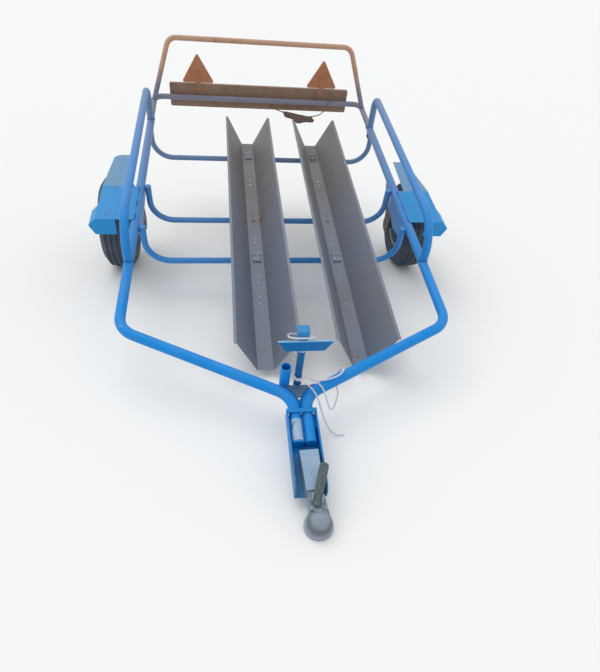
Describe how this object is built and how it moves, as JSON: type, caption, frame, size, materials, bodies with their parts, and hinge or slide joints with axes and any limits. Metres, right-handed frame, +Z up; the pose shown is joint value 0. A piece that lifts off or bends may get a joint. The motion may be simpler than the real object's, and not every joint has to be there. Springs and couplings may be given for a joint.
{
  "type": "motorcycle trailer",
  "caption": "Light tube-frame trailer with folded steel wheel channels on dropped cross tubes, side handrails, fenders, a ball coupling and a sliding lamp frame with hoop.",
  "frame": {"origin": "on the ground, under the middle of the trailer's bounding box, parked nose-down on its coupling", "axes": "+Y to the rear, +Z up, +X to the side that is on the right when one looks along +Y"},
  "size_m": [1.579, 2.5526, 0.9391],
  "materials": {
    "blue_paint": "satin, chipped",
    "board_black": "matt",
    "cable_black": "matt",
    "cast_grey": "dull",
    "cord_white": "woven",
    "fender_paint": "satin, worn",
    "galvanised": "weathered zinc",
    "hub_paint": "dull",
    "lamp_lens": "glossy",
    "pale_blue_paint": "weathered",
    "reflector_red": "glossy",
    "rim_paint": "satin",
    "steel": "dull",
    "tyre_rubber": "matt"
  },
  "bodies": {
    "chassis": {"main_tube_left": "blue_paint", "main_tube_right": "blue_paint", "side_rail_left": "blue_paint", "side_rail_right": "blue_paint", "cross_tube_front": "blue_paint", "cross_tube_middle": "blue_paint", "cross_tube_rear": "blue_paint", "wheel_channel_left": "galvanised", "wheel_channel_right": "galvanised", "fender_left": "fender_paint", "fender_right": "fender_paint", "wheel_hanger_left": "blue_paint", "stub_axle_left": "steel", "wheel_hanger_right": "blue_paint", "stub_axle_right": "steel", "drawbar_cradle": "blue_paint", "coupling_body": "galvanised", "coupling_head": "cast_grey", "coupling_lever": "steel", "jockey_sleeve": "blue_paint", "drawbar_web": "blue_paint", "front_post": "blue_paint", "front_plate": "blue_paint", "post_block": "blue_paint", "lock_screw_left": "steel", "lock_screw_right": "steel", "front_cord": "cord_white", "front_cord_loop": "cord_white"},
    "wheel_left": {"tyre_left": "tyre_rubber", "rim_left": "rim_paint", "hub_left": "hub_paint"},
    "wheel_right": {"tyre_right": "tyre_rubber", "rim_right": "rim_paint", "hub_right": "hub_paint"},
    "lamp_frame": {"lamp_frame_tube": "pale_blue_paint", "rear_hoop": "blue_paint", "lamp_board": "board_black", "rear_lamp_left": "lamp_lens", "reflector_left": "reflector_red", "rear_lamp_right": "lamp_lens", "reflector_right": "reflector_red", "cable_hank": "cable_black", "lamp_cable_right": "cable_black", "lamp_cable_left": "cable_black"}
  },
  "joints": [
    {"name": "wheel_left_spin", "type": "hinge", "parent": "chassis", "child": "wheel_left", "pos_m": [-0.722, 0.37738, 0.212], "axis": [1, 0, 0], "continuous": true},
    {"name": "wheel_right_spin", "type": "hinge", "parent": "chassis", "child": "wheel_right", "pos_m": [0.722, 0.37738, 0.212], "axis": [1, 0, 0], "continuous": true},
    {"name": "lamp_frame_slide", "type": "slide", "parent": "chassis", "child": "lamp_frame", "axis": [0, 0.9723, 0.2337], "range_m": [0, 0.25]}
  ]
}
